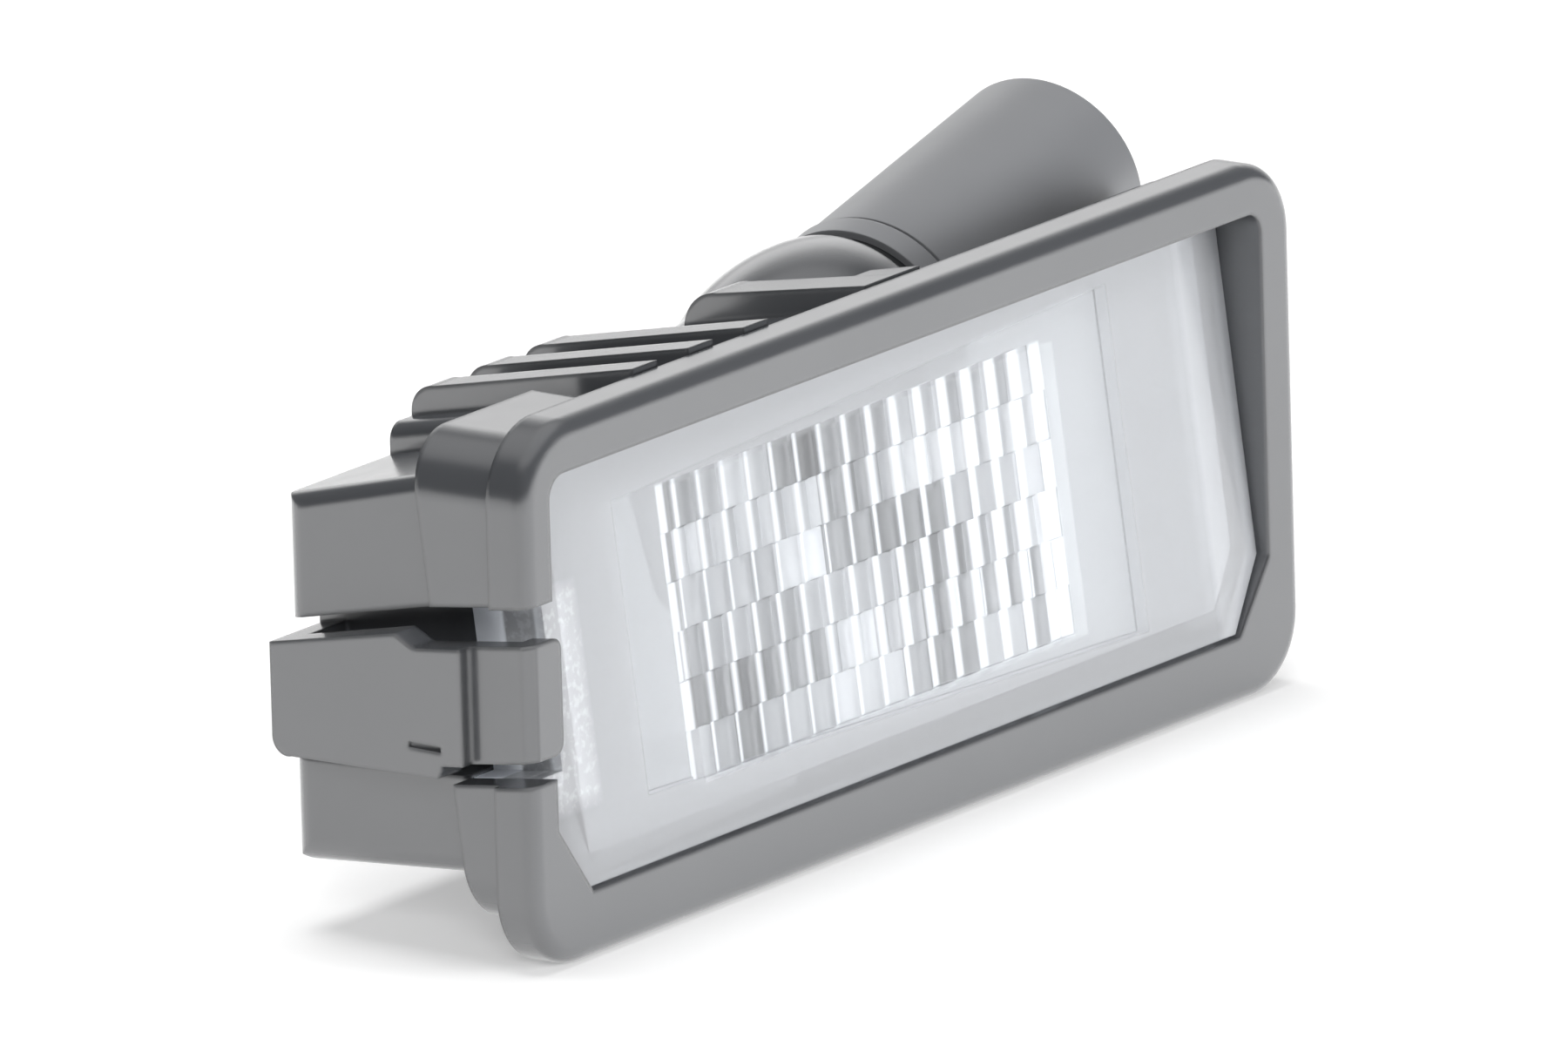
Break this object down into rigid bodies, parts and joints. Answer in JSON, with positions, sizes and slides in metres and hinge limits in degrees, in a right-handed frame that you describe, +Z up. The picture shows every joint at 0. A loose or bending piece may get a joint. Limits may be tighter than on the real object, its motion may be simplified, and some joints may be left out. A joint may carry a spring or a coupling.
{
  "type": "number plate lamp",
  "caption": "Snap-in number plate lamp with a rectangular bezel, slanted fluted clear lens, ribbed rear housing, side latch tongue and an angled round connector tube.",
  "frame": {"origin": "on the bezel's panel seat, in the middle of the window's length and half-way up the bezel", "axes": "+X along the bezel towards the connector tube, +Y through the panel towards the housing's rear, +Z up; the lens faces -Y"},
  "size_m": [0.0716, 0.0218, 0.0317],
  "materials": {
    "body": "satin",
    "lens": "gloss",
    "reflector": "gloss",
    "holder": "satin",
    "seal": "matte",
    "bulb": "gloss",
    "contact": "satin"
  },
  "bodies": {
    "root": {"body": "body", "lens": "lens", "reflector": "reflector", "bulb_holder": "holder", "holder_seal": "seal", "bulb": "bulb", "contact_front": "contact", "contact_rear": "contact"}
  },
  "joints": []
}
